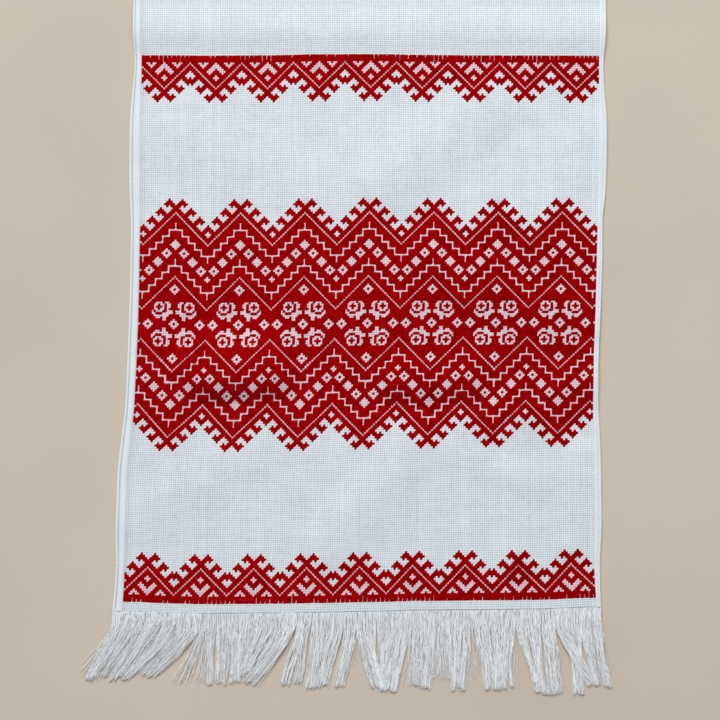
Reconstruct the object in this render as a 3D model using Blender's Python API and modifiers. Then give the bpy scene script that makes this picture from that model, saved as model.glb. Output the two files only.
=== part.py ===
"""Rushnyk: a long white embroidered towel laid out flat, fringed at both ends.

The towel is one woven cloth with a turned hem down each side.  Each end is finished by a
fringe: a narrow strip of the last woven rows, parted from the cloth's edge by a drawn line,
with the loose warp threads hanging from it in locks.  Metres, +Z up.  The origin is the
middle of the footprint on the surface that the towel lies on, +X runs across the towel and
+Y along it.
"""

import math

import bmesh
import bpy
from mathutils import Matrix

MM = 0.001

# Driving dimensions
CLOTH_LENGTH = 1380 * MM
FIELD_THICKNESS = 1.2 * MM
HEM_THICKNESS = 2.0 * MM
HEM_WIDTH = 7.0 * MM
HEM_STEP = 0.8 * MM
DRAWN_LINE = 0.3 * MM
STRIP_WIDTH = 3.2 * MM
FRINGE_THICKNESS = 1.2 * MM
FRINGE_LENGTH = 62 * MM
LOCK_GAP = 0.5 * MM

HALF_LENGTH = CLOTH_LENGTH / 2
FIELD_COLUMNS = 20
LOCK_SEGMENTS = 4
LOCK_BEND = 1.8
UNEVEN_TIPS = 2.5 * MM
UNEVEN_TURN = 2.3

WHITE_COTTON = (0.80, 0.83, 0.86, 1.0)
FRINGE_COTTON = (0.78, 0.80, 0.82, 1.0)
RED_STITCHING = (0.37, 0.003, 0.006, 1.0)

# Bands across one half of the towel, from its end to its middle:
# length in mm, rows of faces, and whether the band is embroidered
BANDS = [
    (7, 1, False),
    (37, 3, True),
    (75, 5, False),
    (186, 12, True),
    (71, 5, False),
    (35, 3, True),
    (279, 17, False),
]

# Side edges of the half that points to -Y, in mm:
# distance from the towel's middle, left edge, right edge
SIDE_EDGES = [
    (0, -175.0, 175.0),
    (238, -175.5, 174.3),
    (262, -175.7, 174.2),
    (285, -174.6, 172.5),
    (303, -176.1, 173.2),
    (326, -178.0, 174.9),
    (357, -178.5, 174.9),
    (380, -178.4, 174.1),
    (400, -177.4, 171.9),
    (430, -177.7, 171.7),
    (461, -178.4, 170.6),
    (503, -179.9, 168.8),
    (540, -181.7, 168.7),
    (565, -184.8, 170.1),
    (587, -187.2, 170.8),
    (610, -188.0, 171.1),
    (634, -188.8, 171.1),
    (655, -188.4, 169.9),
    (675, -189.5, 170.1),
    (690, -191.0, 170.6),
]

# Soft waves of the cloth, each a low ridge along a line, in mm:
# start x, start y, end x, end y, half width, height
WAVES = [
    (-120, -517, -80, -516, 32, 4.0),
    (20, -522, 68, -522, 24, 2.2),
    (34, -568, -30, -642, 30, 1.9),
    (116, -548, 108, -655, 18, 1.6),
    (153, -575, 151, -640, 18, 1.4),
    (62, -577, 130, -594, 18, 0.8),
    (-93, -575, -174, -623, 28, 1.0),
    (74, -556, 163, -519, 28, 1.6),
    (37, -430, 172, -482, 30, 1.2),
    (10, -372, 95, -310, 34, 1.6),
    (165, -340, 125, -400, 30, 1.0),
    (-163, -330, -30, -382, 34, 0.9),
    (-172, -259, 172, -261, 22, 1.8),
    (-20, -196, 174, -130, 34, 3.0),
    (-175, -150, 60, -84, 36, 3.4),
    (-150, 50, 160, 112, 38, 3.8),
    (-172, 214, 20, 176, 34, 3.0),
    (40, 236, 176, 300, 32, 2.6),
    (-120, 330, 40, 392, 34, 2.8),
    (90, 366, 176, 430, 30, 2.6),
    (-168, 470, -30, 432, 32, 3.0),
    (20, 500, 150, 544, 30, 2.8),
    (-140, 572, -60, 636, 30, 2.4),
    (50, 584, 128, 630, 28, 2.6),
]

# The woven rows bow where the towel's end was tugged straight by hand
BOW_PER_METRE = 0.067
BOW_CENTRE = -100 * MM
BOW_REACH = 250 * MM

# Locks of each fringe, grouped as they lie clumped on the surface, from left to right as
# seen with that end towards the viewer.  Places are in mm from the towel's centre line, and
# no lock reaches further than FRINGE_LENGTH:
# root start, root end, tip start, tip end, reach of the tips, locks in the group
NEAR_CLUMPS = [
    (-191, -160, -210, -184, 48, 6),
    (-160, -131, -181, -157, 45, 5),
    (-131, -126, -146, -138, 42, 1),
    (-126, -120, -129, -123, 52, 1),
    (-120, -96, -121, -98, 50, 5),
    (-96, -61, -95, -82, 54, 5),
    (-61, -48, -67, -54, 54, 3),
    (-48, -30, -49, -40, 58, 3),
    (-30, -13, -38, -31, 55, 3),
    (-13, 8, -2, 8, 57, 3),
    (8, 28, 12, 19, 58, 3),
    (28, 52, 26, 45, 56, 4),
    (52, 75, 55, 71, 57, 4),
    (75, 80, 75, 79, 50, 1),
    (80, 108, 85, 106, 58, 5),
    (108, 113, 113, 117, 54, 1),
    (113, 130, 121, 130, 60, 3),
    (130, 142, 132, 143, 66, 2),
    (142, 154, 151, 159, 61, 2),
    (154, 164, 161, 167, 56, 2),
    (164, 170, 172, 180, 56, 1),
]
FAR_CLUMPS = [
    (-191, -166, -210, -186, 47, 5),
    (-166, -146, -174, -157, 55, 4),
    (-146, -118, -147, -129, 58, 5),
    (-118, -92, -119, -96, 52, 5),
    (-92, -70, -89, -73, 61, 4),
    (-70, -42, -67, -51, 56, 5),
    (-42, -20, -42, -27, 58, 4),
    (-20, 6, -15, 9, 54, 4),
    (6, 34, 17, 32, 59, 5),
    (34, 52, 37, 50, 57, 3),
    (52, 80, 68, 84, 66, 5),
    (80, 104, 90, 109, 55, 4),
    (104, 128, 117, 130, 60, 4),
    (128, 158, 139, 160, 58, 5),
    (158, 170, 170, 180, 50, 2),
]


def clear_scene():
    for thing in list(bpy.data.objects):
        bpy.data.objects.remove(thing, do_unlink=True)


def finish(name, colour, roughness):
    """A matte cotton finish of one colour."""
    material = bpy.data.materials.new(name)
    material.use_nodes = True
    shader = material.node_tree.nodes["Principled BSDF"]
    shader.inputs["Base Color"].default_value = colour
    shader.inputs["Roughness"].default_value = roughness
    shader.inputs["Metallic"].default_value = 0.0
    material.diffuse_color = colour
    return material


def edge_at(distance, column):
    """One side edge of the half towards -Y, read smoothly between the rows of SIDE_EDGES."""
    last = len(SIDE_EDGES) - 1
    row = 0
    while row < last - 1 and distance > SIDE_EDGES[row + 1][0] * MM:
        row += 1
    before = SIDE_EDGES[max(row - 1, 0)][column]
    start = SIDE_EDGES[row][column]
    end = SIDE_EDGES[row + 1][column]
    after = SIDE_EDGES[min(row + 2, last)][column]
    row_start = SIDE_EDGES[row][0] * MM
    row_length = SIDE_EDGES[row + 1][0] * MM - row_start
    part = min(max((distance - row_start) / row_length, 0.0), 1.0)
    ease = part * part * (3 - 2 * part)
    leaving = (end - before) * part * (1 - part) ** 2 / 2
    arriving = (after - start) * part ** 2 * (1 - part) / 2
    return (start + (end - start) * ease + leaving - arriving) * MM


def side_edges(y):
    """Left and right edge of the cloth at y; the half towards +Y is the other turned round."""
    if y <= 0:
        return edge_at(-y, 1), edge_at(-y, 2)
    return -edge_at(y, 2), -edge_at(y, 1)


def row_bow(x, y):
    """How far a woven row is pushed along the towel at x; only the rows near an end bow."""
    nearness = 1 - (HALF_LENGTH - abs(y)) / BOW_REACH
    if nearness <= 0:
        return 0.0
    turn = 1 if y < 0 else -1
    inward = (turn * x - BOW_CENTRE) ** 2 - BOW_CENTRE ** 2
    return turn * BOW_PER_METRE * inward * nearness


def wave_height(x, y):
    """Height of the cloth's underside above the surface; nought wherever it lies flat."""
    height = 0.0
    for start_x, start_y, end_x, end_y, half_width, top in WAVES:
        run_x = (end_x - start_x) * MM
        run_y = (end_y - start_y) * MM
        from_x = x - start_x * MM
        from_y = y - start_y * MM
        along = (from_x * run_x + from_y * run_y) / (run_x ** 2 + run_y ** 2)
        along = min(max(along, 0.0), 1.0)
        distance = math.hypot(from_x - along * run_x, from_y - along * run_y)
        nearness = 1 - (distance / (half_width * MM)) ** 2
        if nearness > 0:
            height += top * MM * nearness ** 2
    return height


def row_places():
    """Places of the grid's rows along the towel, and whether each row of faces is stitched."""
    places = [-HALF_LENGTH]
    stitched_rows = []
    for length, rows, stitched in BANDS:
        for _ in range(rows):
            places.append(places[-1] + length * MM / rows)
            stitched_rows.append(stitched)
    far_places = [-place for place in reversed(places[:-1])]
    return places + far_places, stitched_rows + stitched_rows[::-1]


def column_places(left, right):
    """Places of the grid's columns across the cloth: hem, step down, field, step up, hem."""
    field_left = left + HEM_WIDTH + HEM_STEP
    field_right = right - HEM_WIDTH - HEM_STEP
    places = [left, left + HEM_WIDTH]
    for column in range(FIELD_COLUMNS + 1):
        places.append(field_left + (field_right - field_left) * column / FIELD_COLUMNS)
    return places + [right - HEM_WIDTH, right]


def grid_cell(place, columns, rows):
    """Column and row of a place on a grid that runs from -1 to 1 both ways."""
    return (place.x + 1) / 2 * columns, (place.y + 1) / 2 * rows


def thicken(sheet, thickness):
    """Give a sheet its thickness upwards, so that its underside keeps its place."""
    solid = sheet.modifiers.new("thickness", "SOLIDIFY")
    solid.thickness = thickness
    solid.offset = 1
    return solid


def make_cloth(towel):
    """The towel's one woven cloth, thicker at its turned side hems than in its field."""
    row_ys, stitched_rows = row_places()
    rows = len(stitched_rows)
    columns = FIELD_COLUMNS + 4
    bpy.ops.mesh.primitive_grid_add(x_subdivisions=columns, y_subdivisions=rows, size=2)
    cloth = bpy.context.object
    cloth.name = "cloth"
    cloth.data.materials.append(finish("white_cotton", WHITE_COTTON, 0.9))
    cloth.data.materials.append(finish("red_stitching", RED_STITCHING, 0.8))
    for face in cloth.data.polygons:
        column, row = grid_cell(face.center, columns, rows)
        if stitched_rows[int(row)] and 2 < column < columns - 2:
            face.material_index = 1
    hems = cloth.vertex_groups.new(name="hem_thickness")
    for vertex in cloth.data.vertices:
        column, row = grid_cell(vertex.co, columns, rows)
        y = row_ys[round(row)]
        x = column_places(*side_edges(y))[round(column)]
        in_hem = round(column) < 2 or round(column) > columns - 2
        hems.add([vertex.index], 1.0 if in_hem else FIELD_THICKNESS / HEM_THICKNESS, "REPLACE")
        vertex.co = (x, y + row_bow(x, y), wave_height(x, y))
    thicken(cloth, HEM_THICKNESS).vertex_group = hems.name
    for home in list(cloth.users_collection):
        home.objects.unlink(cloth)
    towel.objects.link(cloth)


def lock_sides(clumps):
    """Each lock's left and right side, as its places at root and tip, and how far it reaches."""
    locks = []
    for root_start, root_end, tip_start, tip_end, reach, count in clumps:
        root_pitch = (root_end - root_start) * MM / count
        tip_pitch = (tip_end - tip_start) * MM / count
        for index in range(count):
            root = root_start * MM + root_pitch * index
            tip = tip_start * MM + tip_pitch * index
            left = (root + LOCK_GAP, tip + LOCK_GAP / 2)
            right = (root + root_pitch - LOCK_GAP, tip + tip_pitch - LOCK_GAP / 2)
            uneven = UNEVEN_TIPS * math.sin(UNEVEN_TURN * len(locks))
            locks.append((left, right, min(reach * MM + uneven, FRINGE_LENGTH)))
    return locks


def make_strip(sheet, locks):
    """The fringe's strip of woven rows; gives back its vertices at the locks' roots, in order."""
    cells = 2 * len(locks) - 1
    bmesh.ops.create_grid(sheet, x_segments=cells, y_segments=1, size=1)
    roots = {}
    for vertex in sheet.verts:
        column = round(grid_cell(vertex.co, cells, 1)[0])
        x = locks[column // 2][column % 2][0]
        out = DRAWN_LINE
        if vertex.co.y < 0:
            out += STRIP_WIDTH
            roots[column] = vertex
        vertex.co = (x, row_bow(x, -HALF_LENGTH) - HALF_LENGTH - out, 0)
    return roots


def grow_lock(sheet, root_pair, lock):
    """One lock, drawn out of the strip's edge in steps that bend towards its tip."""
    left, right, reach = lock
    edge = sheet.edges.get(root_pair)
    root_ys = [vertex.co.y for vertex in root_pair]
    for segment in range(1, LOCK_SEGMENTS + 1):
        part = segment / LOCK_SEGMENTS
        grown = bmesh.ops.extrude_edge_only(sheet, edges=[edge])["geom"]
        edge = next(item for item in grown if isinstance(item, bmesh.types.BMEdge))
        pair = sorted(edge.verts, key=lambda vertex: vertex.co.x)
        for vertex, side, root_y in zip(pair, (left, right), root_ys):
            vertex.co.x = side[0] + (side[1] - side[0]) * part ** LOCK_BEND
            vertex.co.y = root_y + (-HALF_LENGTH - reach - root_y) * part


def make_fringe(name, clumps, turn, towel):
    """One end's fringe, its locks lying flat on the surface; the far end is turned half round."""
    locks = lock_sides(clumps)
    sheet = bmesh.new()
    roots = make_strip(sheet, locks)
    for index, lock in enumerate(locks):
        grow_lock(sheet, (roots[2 * index], roots[2 * index + 1]), lock)
    bmesh.ops.recalc_face_normals(sheet, faces=sheet.faces)
    if sheet.faces[0].normal.z < 0:
        bmesh.ops.reverse_faces(sheet, faces=sheet.faces)
    bmesh.ops.rotate(sheet, verts=sheet.verts, matrix=Matrix.Rotation(turn, 3, "Z"))
    mesh = bpy.data.meshes.new(name)
    sheet.to_mesh(mesh)
    sheet.free()
    mesh.materials.append(finish(name + "_thread", FRINGE_COTTON, 0.85))
    fringe = bpy.data.objects.new(name, mesh)
    thicken(fringe, FRINGE_THICKNESS)
    towel.objects.link(fringe)


def main():
    clear_scene()
    towel = bpy.data.collections.new("rushnyk")
    bpy.context.scene.collection.children.link(towel)
    make_cloth(towel)
    make_fringe("fringe_near", NEAR_CLUMPS, 0.0, towel)
    make_fringe("fringe_far", FAR_CLUMPS, math.pi, towel)


main()
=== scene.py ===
"""Looks of the rushnyk: woven ground, turned hems, counted stitching and loose fringes."""
import math

import bpy
import numpy as np
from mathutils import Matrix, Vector


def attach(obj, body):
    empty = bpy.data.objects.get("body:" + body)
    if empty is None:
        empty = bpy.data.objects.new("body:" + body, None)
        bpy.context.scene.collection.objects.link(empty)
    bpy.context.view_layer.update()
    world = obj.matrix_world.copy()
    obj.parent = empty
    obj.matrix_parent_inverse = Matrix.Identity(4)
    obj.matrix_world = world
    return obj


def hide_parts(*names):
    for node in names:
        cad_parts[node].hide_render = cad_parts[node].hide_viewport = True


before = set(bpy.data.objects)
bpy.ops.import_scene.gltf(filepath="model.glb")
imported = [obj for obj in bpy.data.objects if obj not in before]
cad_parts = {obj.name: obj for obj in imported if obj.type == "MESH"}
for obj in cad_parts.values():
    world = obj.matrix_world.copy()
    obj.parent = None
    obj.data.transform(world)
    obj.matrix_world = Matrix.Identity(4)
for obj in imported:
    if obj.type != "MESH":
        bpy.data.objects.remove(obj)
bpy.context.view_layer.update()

MM = 0.001
DRAWS = np.random.default_rng(20)

# The towel's sizes, as in the solids
CLOTH_LENGTH = 1380 * MM
HALF_LENGTH = CLOTH_LENGTH / 2
FRINGE_LENGTH = 62 * MM

# Thickness of the cloth and heights of its stitches
FIELD_THICKNESS = 1 * MM
HEM_THICKNESS = 1.9 * MM
STITCH_HEIGHT = 0.5 * MM
STITCH_UNEVEN = 0.04 * MM
STITCH_DIP = 0.3 * MM
STITCH_GROOVE = 0.2 * MM
CROSSING_GROOVE = STITCH_GROOVE * 0.7
STITCH_SUNK = -0.06 * MM
CORNER_TOUCH = 0.08 * MM
THIN_CORNER = -0.18 * MM

# Slits in a border's straight edge: pitch in stitches, how likely, depths in half stitches
SLIT_PITCH = 2
SLIT_CHANCE = 0.6
SLIT_DEPTHS = (2, 2, 3, 3, 2, 5)
SLIT_SUNK = (-0.14 * MM, -0.02 * MM)

# Share of a stitch that yarn spreads over a bare one, also in thin lines; how many times that
# where three red stitches meet, at a lone red corner and on the edge between such corners
SPREAD = 0.38
THIN_SPREAD = 0.43
BARE_CORNER = 1.5
RED_CORNER = 0.4
STEP_EDGE = 0.5
LAID_UNEVEN = 0.04

# Counted stitches, and the row where each band starts
STITCHES_ACROSS = 213
MIDDLE_STITCH = STITCHES_ACROSS // 2
STITCH_PITCH = 338 * MM / STITCHES_ACROSS
LOWER_BORDER_ROW = 4
MAIN_BAND_ROW = 72
UPPER_BORDER_ROW = 234

# The main band: half a repeat, rows from its middle to its tips, reach of its edge and of its
# inner line, tops, treads and tread size of its stairs, hooks
BAND_HALF_REPEAT = 15
BAND_HALF_ROWS = 58
BAND_EDGE = 52
BAND_INNER_LINE = 22
STAIR_TOPS = (44, 27)
STAIR_TREADS = 5
TREAD = 3
BAND_HOOKS = 4

# A border: half a repeat, its rows, the number of the row at its straight edge, hooks
BORDER_HALF_REPEAT = 12
BORDER_ROWS = 22
BORDER_START = 3
BORDER_HOOKS = 3

# The view from straight above
VIEW_WIDTH = 533.2 * MM
VIEW_X = -7.8 * MM
VIEW_Y = -504.1 * MM
CAMERA_HEIGHT = 1500 * MM

# Light and colours, as linear red, green and blue
KEY_FROM = (-0.2, 0.82, 0.6)
KEY_STRENGTH = 2.4
KEY_SPREAD_DEG = 30
WORLD_COLOUR = (0.95, 0.98, 1, 1)
WORLD_STRENGTH = 0.37
TOP_LIGHT_AT = (0.0, 0.05, 0.95)
TOP_LIGHT_SIZE = 0.5
TOP_LIGHT_WATTS = 2.7
FLOOR_SIZE = 6.0
FLOOR_DROP = 0.1 * MM
FLOOR_LIGHT = (0.62, 0.535, 0.44, 1)
FLOOR_DARK = (0.56, 0.485, 0.4, 1)
GROUND_LIGHT = (0.8, 0.86, 0.9, 1)
GROUND_DARK = (0.42, 0.46, 0.5, 1)
# Bare cells of the bands: pinker and darker with painted red light and painted shade from the
# stitches
BARE_PAINTED_LIGHT = (0.84, 0.64, 0.68, 1)
BARE_PAINTED_DARK = (0.4, 0.16, 0.19, 1)
FRINGE_LIGHT = (0.955, 0.98, 1, 1)
FRINGE_DARK = (0.76, 0.8, 0.84, 1)
RED_LIGHT = (0.43, 0.002, 0.004, 1)
RED_DARK = (0.19, 0, 0.001, 1)
SHEEN_ROUGHNESS = 0.6

# Side edges of the -Y half, in mm: distance from the middle, left edge, left edge of the
# stitched field, right edge of that field, right edge
SIDE_EDGES = np.array([
    (0, -175, -169.5, 169.5, 175),
    (238, -175.5, -169.7, 169.1, 174.3),
    (262, -175.7, -169.7, 169.1, 174.2),
    (285, -174.6, -169.3, 169, 172.5),
    (303, -176.1, -169.5, 169, 173.2),
    (326, -178, -169.8, 168.8, 174.9),
    (357, -178.5, -170.1, 168.5, 174.9),
    (380, -178.4, -170.3, 168.2, 174.1),
    (400, -177.4, -170.4, 167.9, 171.9),
    (430, -177.7, -170.9, 167.3, 171.7),
    (461, -178.4, -171.5, 166.5, 170.6),
    (503, -179.9, -173, 165, 168.8),
    (540, -181.7, -174.9, 164.5, 168.7),
    (565, -184.8, -177.4, 164.8, 170.1),
    (587, -187.2, -179.4, 165.1, 170.8),
    (610, -188, -180.4, 165.3, 171.1),
    (634, -188.8, -180.9, 165.6, 171.1),
    (655, -188.4, -181.8, 165.3, 169.9),
    (675, -189.5, -182.6, 166.2, 170.1),
    (690, -191, -183.4, 167, 170.6),
]) * MM

# Unevenness of the weave in the -Y half, in mm: distance from the middle, push of the middle
# columns to +X, then pushes of the rows to +Y at WEAVE_PLACES
WEAVE_PLACES = np.array([-175, -150, -125, -80, -40, 0, 40, 80, 120, 165]) * MM
WEAVE_PUSHES = np.array([
    (0, 0, 0, 0, 0, 0, 0, 0, 0, 0, 0, 0),
    (240, 0.2, 0, 0, 0, 0, 0.2, 0.2, 0.1, 0, 0, 0),
    (293, 0.4, 0.1, 0.1, -0.2, 0, 0.9, 1.1, 0.4, 0, -0.1, -0.3),
    (404, 0.5, 0.4, 0.2, -0.5, -0.2, 0.1, 0.8, 0.7, 0.3, 0.4, 0.6),
    (445, 0.5, 0.8, 0.6, -0.4, 0, 0.6, 1.1, 0.9, 0.9, 1, 1.1),
    (493, 0.7, 0.8, 0.4, -0.6, -0.1, 0.5, 1.2, 1.7, 1.8, 1.9, 1.5),
    (523, 0.7, 0.6, 0.3, -0.4, -0.2, 0.5, 1.4, 1.9, 2.3, 2.7, 2.5),
    (552, 0.3, 0, -0.5, -1.1, -0.9, -0.1, 1, 1.6, 2.4, 2.7, 2.6),
    (663, 0.1, 0, -0.9, -1.6, -1.4, -0.7, 0.1, 1, 1.4, 1.6, 2.6),
    (690, 0, 0.3, -0.8, -1.4, -1.2, -0.7, 0.1, 1, 1.3, 1.7, 3.3),
]) * MM

# Sections of one half from its end to the middle: name, rows of stitches, length in mm
SECTIONS = [
    ("plain end", 4, 7.0),
    ("lower border", 22, 36.6),
    ("lower ground", 46, 75.4),
    ("main band", 117, 186.1),
    ("upper ground", 45, 71.4),
    ("upper border", 22, 34.5),
    ("middle ground", 176, 279.0),
]
SECTION_ROWS = np.cumsum([0] + [rows for _, rows, _ in SECTIONS])
SECTION_PLACES = np.cumsum([0.0] + [length for _, _, length in SECTIONS]) * MM

# Waves of the cloth, each a low ridge on a line, in mm: start x, start y, end x, end y,
# half width, height; then the share by which it is wider left of its line and narrower right
WAVES = [
    (-120, -517, -80, -516, 34, 6.4, 0.32),
    (20, -521, 68, -521, 25, 3.2, 0.25),
    (34, -568, -30, -642, 30, 1.9, 0),
    (116, -548, 108, -655, 18, 1.6, 0),
    (153, -575, 151, -640, 18, 1.4, 0),
    (62, -577, 130, -594, 18, 0.8, 0),
    (-93, -575, -174, -623, 28, 1.0, 0),
    (74, -556, 163, -519, 28, 1.6, 0),
    (37, -430, 172, -482, 30, 1.2, 0),
    (10, -372, 95, -310, 34, 1.6, 0),
    (165, -340, 125, -400, 30, 1.0, 0),
    (-163, -330, -30, -382, 34, 0.9, 0),
    (-172, -259, 172, -261, 22, 1.8, 0),
    (-20, -196, 174, -130, 34, 3.0, 0),
    (-175, -150, 60, -84, 36, 3.4, 0),
    (-150, 50, 160, 112, 38, 3.8, 0),
    (-172, 214, 20, 176, 34, 3.0, 0),
    (40, 236, 176, 300, 32, 2.6, 0),
    (-120, 330, 40, 392, 34, 2.8, 0),
    (90, 366, 176, 430, 30, 2.6, 0),
    (-168, 470, -30, 432, 32, 3.0, 0),
    (20, 500, 150, 544, 30, 2.8, 0),
    (-140, 572, -60, 636, 30, 2.4, 0),
    (50, 584, 128, 630, 28, 2.6, 0),
]

# Clumps of each fringe, left to right with that end towards the viewer, in mm: root start,
# root end, tip start, tip end, reach; then the parts of the length at which threads start to
# lean and to gather, and the share that lies loose
NEAR_CLUMPS = [
    (-191, -180, -211, -204.5, 50, 0.08, 0.45, 0.2),
    (-180, -172, -204.5, -195, 46.5, 0.08, 0.3, 0.45),
    (-172, -162, -195, -188.5, 49.5, 0.1, 0.45, 0.35),
    (-162, -155, -188.5, -183.5, 47, 0.12, 0.3, 0.45),
    (-155, -147, -183.5, -178.5, 49.5, 0.15, 0.45, 0.4),
    (-147, -137, -179.5, -166, 46.5, 0.21, 0.35, 0.6),
    (-137, -127, -167, -157.5, 47, 0.25, 0.5, 0.25),
    (-127, -121, -146, -126, 54, 0.2, 0.2, 0.9),
    (-121, -114, -122.7, -118, 55, 0.1, 0.4, 0.1),
    (-114, -103, -114.5, -107, 53, 0.1, 0.35, 0.35),
    (-103, -92, -103.5, -97, 54, 0.1, 0.35, 0.35),
    (-92, -66, -99, -86, 48, 0.2, 0.25, 0.5),
    (-66, -55, -93, -83, 54, 0.2, 0.4, 0.05),
    (-55, -43, -67, -52, 53.5, 0.05, 0.3, 0.05),
    (-43, -34, -48.4, -41, 58, 0.15, 0.4, 0.08),
    (-34, -20, -41, -33.5, 54, 0.2, 0.35, 0.35),
    (-20, -11, -26.5, -19.5, 55, 0.2, 0.4, 0.1),
    (-11, -2, 1, 7.5, 55, 0.2, 0.3, 0.08),
    (-2, 10, 6.5, 11, 57, 0.2, 0.4, 0.1),
    (10, 20, 10, 14, 58, 0.2, 0.4, 0.08),
    (20, 30, 13.5, 17.5, 58, 0.3, 0.4, 0.08),
    (30, 37, 27, 35, 54, 0.2, 0.4, 0.4),
    (37, 47, 35, 45.5, 56.5, 0.2, 0.4, 0.05),
    (47, 57, 47, 60, 50, 0.2, 0.3, 0.6),
    (57, 73, 59.5, 70, 57.5, 0.2, 0.35, 0.08),
    (73, 76, 72, 84, 48, 0.2, 0.2, 0.9),
    (76, 108, 86, 105, 57, 0.15, 0.3, 0.05),
    (108, 126, 122, 130.5, 59, 0.2, 0.35, 0.07),
    (126, 136, 132, 142, 61, 0.2, 0.35, 0.07),
    (136, 146, 161.5, 168.5, 54.5, 0.2, 0.35, 0.03),
    (146, 156, 150.5, 158.5, 61, 0.2, 0.4, 0.1),
    (156, 164, 163.5, 169, 54, 0.3, 0.4, 0.08),
    (164, 170, 173.5, 179.5, 54.5, 0.15, 0.3, 0.08),
]
FAR_CLUMPS = [
    (-191, -176, -210, -200, 50, 0.08, 0.4, 0.12),
    (-176, -160, -197, -186, 52, 0.12, 0.35, 0.12),
    (-160, -146, -174, -160, 55, 0.2, 0.4, 0.2),
    (-146, -118, -147, -129, 58, 0.15, 0.35, 0.1),
    (-118, -92, -119, -98, 53, 0.15, 0.3, 0.3),
    (-92, -70, -89, -74, 60, 0.15, 0.35, 0.08),
    (-70, -42, -67, -51, 56, 0.15, 0.35, 0.25),
    (-42, -20, -42, -28, 58, 0.2, 0.4, 0.08),
    (-20, 6, -15, 5, 54, 0.15, 0.35, 0.15),
    (6, 34, 17, 33, 59, 0.2, 0.35, 0.08),
    (34, 52, 37, 50, 57, 0.15, 0.3, 0.2),
    (52, 80, 68, 84, 61, 0.2, 0.35, 0.08),
    (80, 104, 90, 109, 55, 0.15, 0.3, 0.25),
    (104, 128, 117, 130, 60, 0.2, 0.35, 0.1),
    (128, 158, 139, 160, 58, 0.15, 0.35, 0.1),
    (158, 170, 170, 179, 52, 0.15, 0.3, 0.12),
]

# Cells of one hook, as stitches from the peak's middle and beyond the band's edge, the way
# to the next hook, and the width of the line on which they stand
HOOK_CELLS = [(1, 3), (2, 3), (4, 3), (1, 4), (2, 4), (3, 4), (4, 4), (5, 4),
              (2, 5), (3, 5), (4, 5), (3, 6)]
HOOK_PITCH = 4
EDGE_LINE = 3

# Bare diamonds of the main band: stitches from the peak's middle, rows from the band's
# middle, size, whether its middle is red
DIAMONDS = [
    (0, 37, 2, False),
    (4, 33, 2, True),
    (8, 29, 2, False),
    (12, 25, 2, True),
    (0, 16, 2, True),
    (0, 0, 2, True),
    (12, 0, 2, True),
    (15, 21, 1, False),
]

# A small bare rose that runs towards the middles of the peak and of the band, and how far
# from both it starts
ROSE_PLACE = 10
ROSE = [
    "..###.##..",
    ".##.##.##.",
    ".#...#.##.",
    ".##.##.#..",
    "#.###..###",
    "##...#####",
    ".#######..",
    "..##.##...",
    ".....##...",
]

# Turned hems: share of the width from the outer edge, height of the top and of the underside
# as shares of the thickness, share of the sewing's depth that draws it in
HEM_PROFILE = [
    (0, 0.45, 0.45, 0),
    (0.06, 0.82, 0.12, 0),
    (0.14, 1, 0, 0),
    (0.23, 0.98, 0, 0.1),
    (0.3, 0.95, 0, 1),
    (0.37, 0.98, 0, 0.1),
    (0.78, 1, 0, 0),
    (0.93, 0.86, 0, 0),
]
HEM_COLUMNS = 3
LEFT_FOLD_COLUMN = 2.15
LEFT_SEWING_DEPTH = 0.75 * MM
RIGHT_SEWING_DEPTH = 0.3 * MM

# The cloth's grid: lines along its field, lines across it, its first inner row
FIELD_LINES = 66
CLOTH_ROWS = 560
END_ROW = 0.05

# Small ripples of the cloth: wavelength across and along, turn, height
RIPPLES = [
    (31 * MM, 43 * MM, 0.5, 0.09 * MM),
    (19 * MM, 27 * MM, -0.7, 0.05 * MM),
    (58 * MM, 37 * MM, 1.2, 0.09 * MM),
]

# Fringe threads, in bundles of two stitches' width at the cloth
THREADS_A_BUNDLE = 18
THREAD_RADIUS = 0.2 * MM
THREAD_RADII = (0.85, 1.15)
TAPER = (1.12, 0.8)
THREAD_NUMBERS = 97

# Steps along a thread, closer at its root, with one at each end for its cut
THREAD_STEPS = 14
STEP_POWER = 1.1
ROOT_CUT = 0.008
TIP_CUT = 0.992

# How bundles are drawn in at the holes, and how far threads are held straight
PINCH_WIDTH = 2.75 * MM
TIGHT_PINCH_WIDTH = 1.9 * MM
TIGHT_PINCH_FROM = 132 * MM
PINCH_REACH = 1.2 * MM
ROOT_TUCK = 1.2 * MM
STRIP_HELD = 4 * MM
HEM_HELD = 8 * MM

# Locks: pitch, unevenness of sides, tip and reach, tightness, sway
LOCK_PITCH = 6.3 * MM
LOCK_SIDES_UNEVEN = 0.42
LOCK_TIP_UNEVEN = 0.5 * MM
LOCK_REACH_UNEVEN = (0.3 * MM, 1.2 * MM)
LOCK_TIGHTNESS = (0.8, 1.15)
LOCK_SWAY = 0.6 * MM
SWAY_TURNS = 0.75

# Threads: how they lean and gather, and how uneven their tips are
LEAN_POWER = 1.2
LOOSE_POWER = 1.5
GATHER_LENGTH = 0.45
IN_LOCK_UNEVEN = 0.6 * MM
LOOSE_TIP_UNEVEN = 2 * MM
LOOSE_SHORTER = (1.5, 2.5 * MM)
REACH_UNEVEN = 0.8 * MM
SHORTEST_THREAD = 22 * MM
STRAY_SHARE = 0.04
STRAY_REACH = 3 * MM
STRAY_TIP_UNEVEN = 6 * MM
STRAY_SHORTER = 9 * MM

# Crimps: reach to the side and waves along a thread, how they differ, where they start
CRIMPS = ((0.36 * MM, 9), (0.27 * MM, 17))
CRIMP_RATES = (0.8, 1.3)
CRIMP_FROM = 6 * MM

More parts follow.
